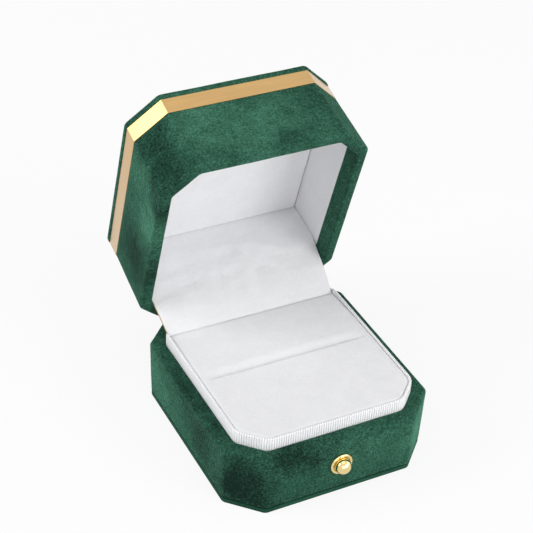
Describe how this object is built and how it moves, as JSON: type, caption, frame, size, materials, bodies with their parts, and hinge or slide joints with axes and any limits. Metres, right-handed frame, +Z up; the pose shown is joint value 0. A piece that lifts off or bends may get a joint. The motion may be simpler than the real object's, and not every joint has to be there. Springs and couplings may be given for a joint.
{
  "type": "velvet ring box",
  "caption": "Ring box with cut corners, covered in velvet, with a hinged padded lid, gold band, round knob and white pads that grip a ring in a slot.",
  "frame": {"origin": "middle of the underside, on the surface that the box stands on", "axes": "+X to the box's right seen from the front, +Y to the back where the hinge is, +Z up"},
  "size_m": [0.0604, 0.0941, 0.0871],
  "materials": {
    "green_velvet": "cut velvet with a brushed, mottled nap",
    "green_cloth": "plain matt lining cloth",
    "white_ribbon": "ribbed ribbon, satin",
    "white_flock": "short flocked velvet, matt",
    "white_card": "uncoated grey-white board",
    "tan_paper": "kraft paper",
    "moulded_shell": "moulded, fine matt grain",
    "gold_strip": "brushed satin gold",
    "gold_polish": "polished gold plate",
    "hinge_steel": "bright zinc plate"
  },
  "bodies": {
    "base": {"bottom_cover": "green_cloth", "bottom_board": "white_card", "base_shell": "moulded_shell", "base_velvet": "green_velvet", "neck_collar": "white_card", "neck_ribbon": "white_ribbon", "pad_board": "white_card", "pad_front": "white_flock", "pad_rear": "white_flock", "knob_ball": "gold_polish", "knob_dish": "gold_polish", "knob_washer": "hinge_steel", "hinge_base_leaf": "hinge_steel", "hinge_pin": "hinge_steel", "hinge_base_rivets": "hinge_steel", "hinge_spring": "hinge_steel", "hinge_flap": "white_flock", "flap_backing": "tan_paper"},
    "lid": {"lid_shell": "moulded_shell", "lid_velvet": "green_velvet", "gold_band": "gold_strip", "lid_cap_velvet": "green_velvet", "lid_cap_board": "white_card", "lid_lining_front": "white_flock", "lid_lining_front_right": "white_flock", "lid_lining_right": "white_flock", "lid_lining_left": "white_flock", "lid_lining_front_left": "white_flock", "ceiling_cloth": "white_flock", "ceiling_card": "white_card", "ceiling_foam": "white_flock", "hinge_lid_leaf": "hinge_steel", "hinge_lid_rivets": "hinge_steel"}
  },
  "joints": [
    {"name": "lid_hinge", "type": "hinge", "parent": "base", "child": "lid", "pos_m": [0, 0.0314, 0.018], "axis": [1, 0, 0], "range_deg": [0, 73], "deforming": ["hinge_flap", "flap_backing", "hinge_spring"]}
  ]
}
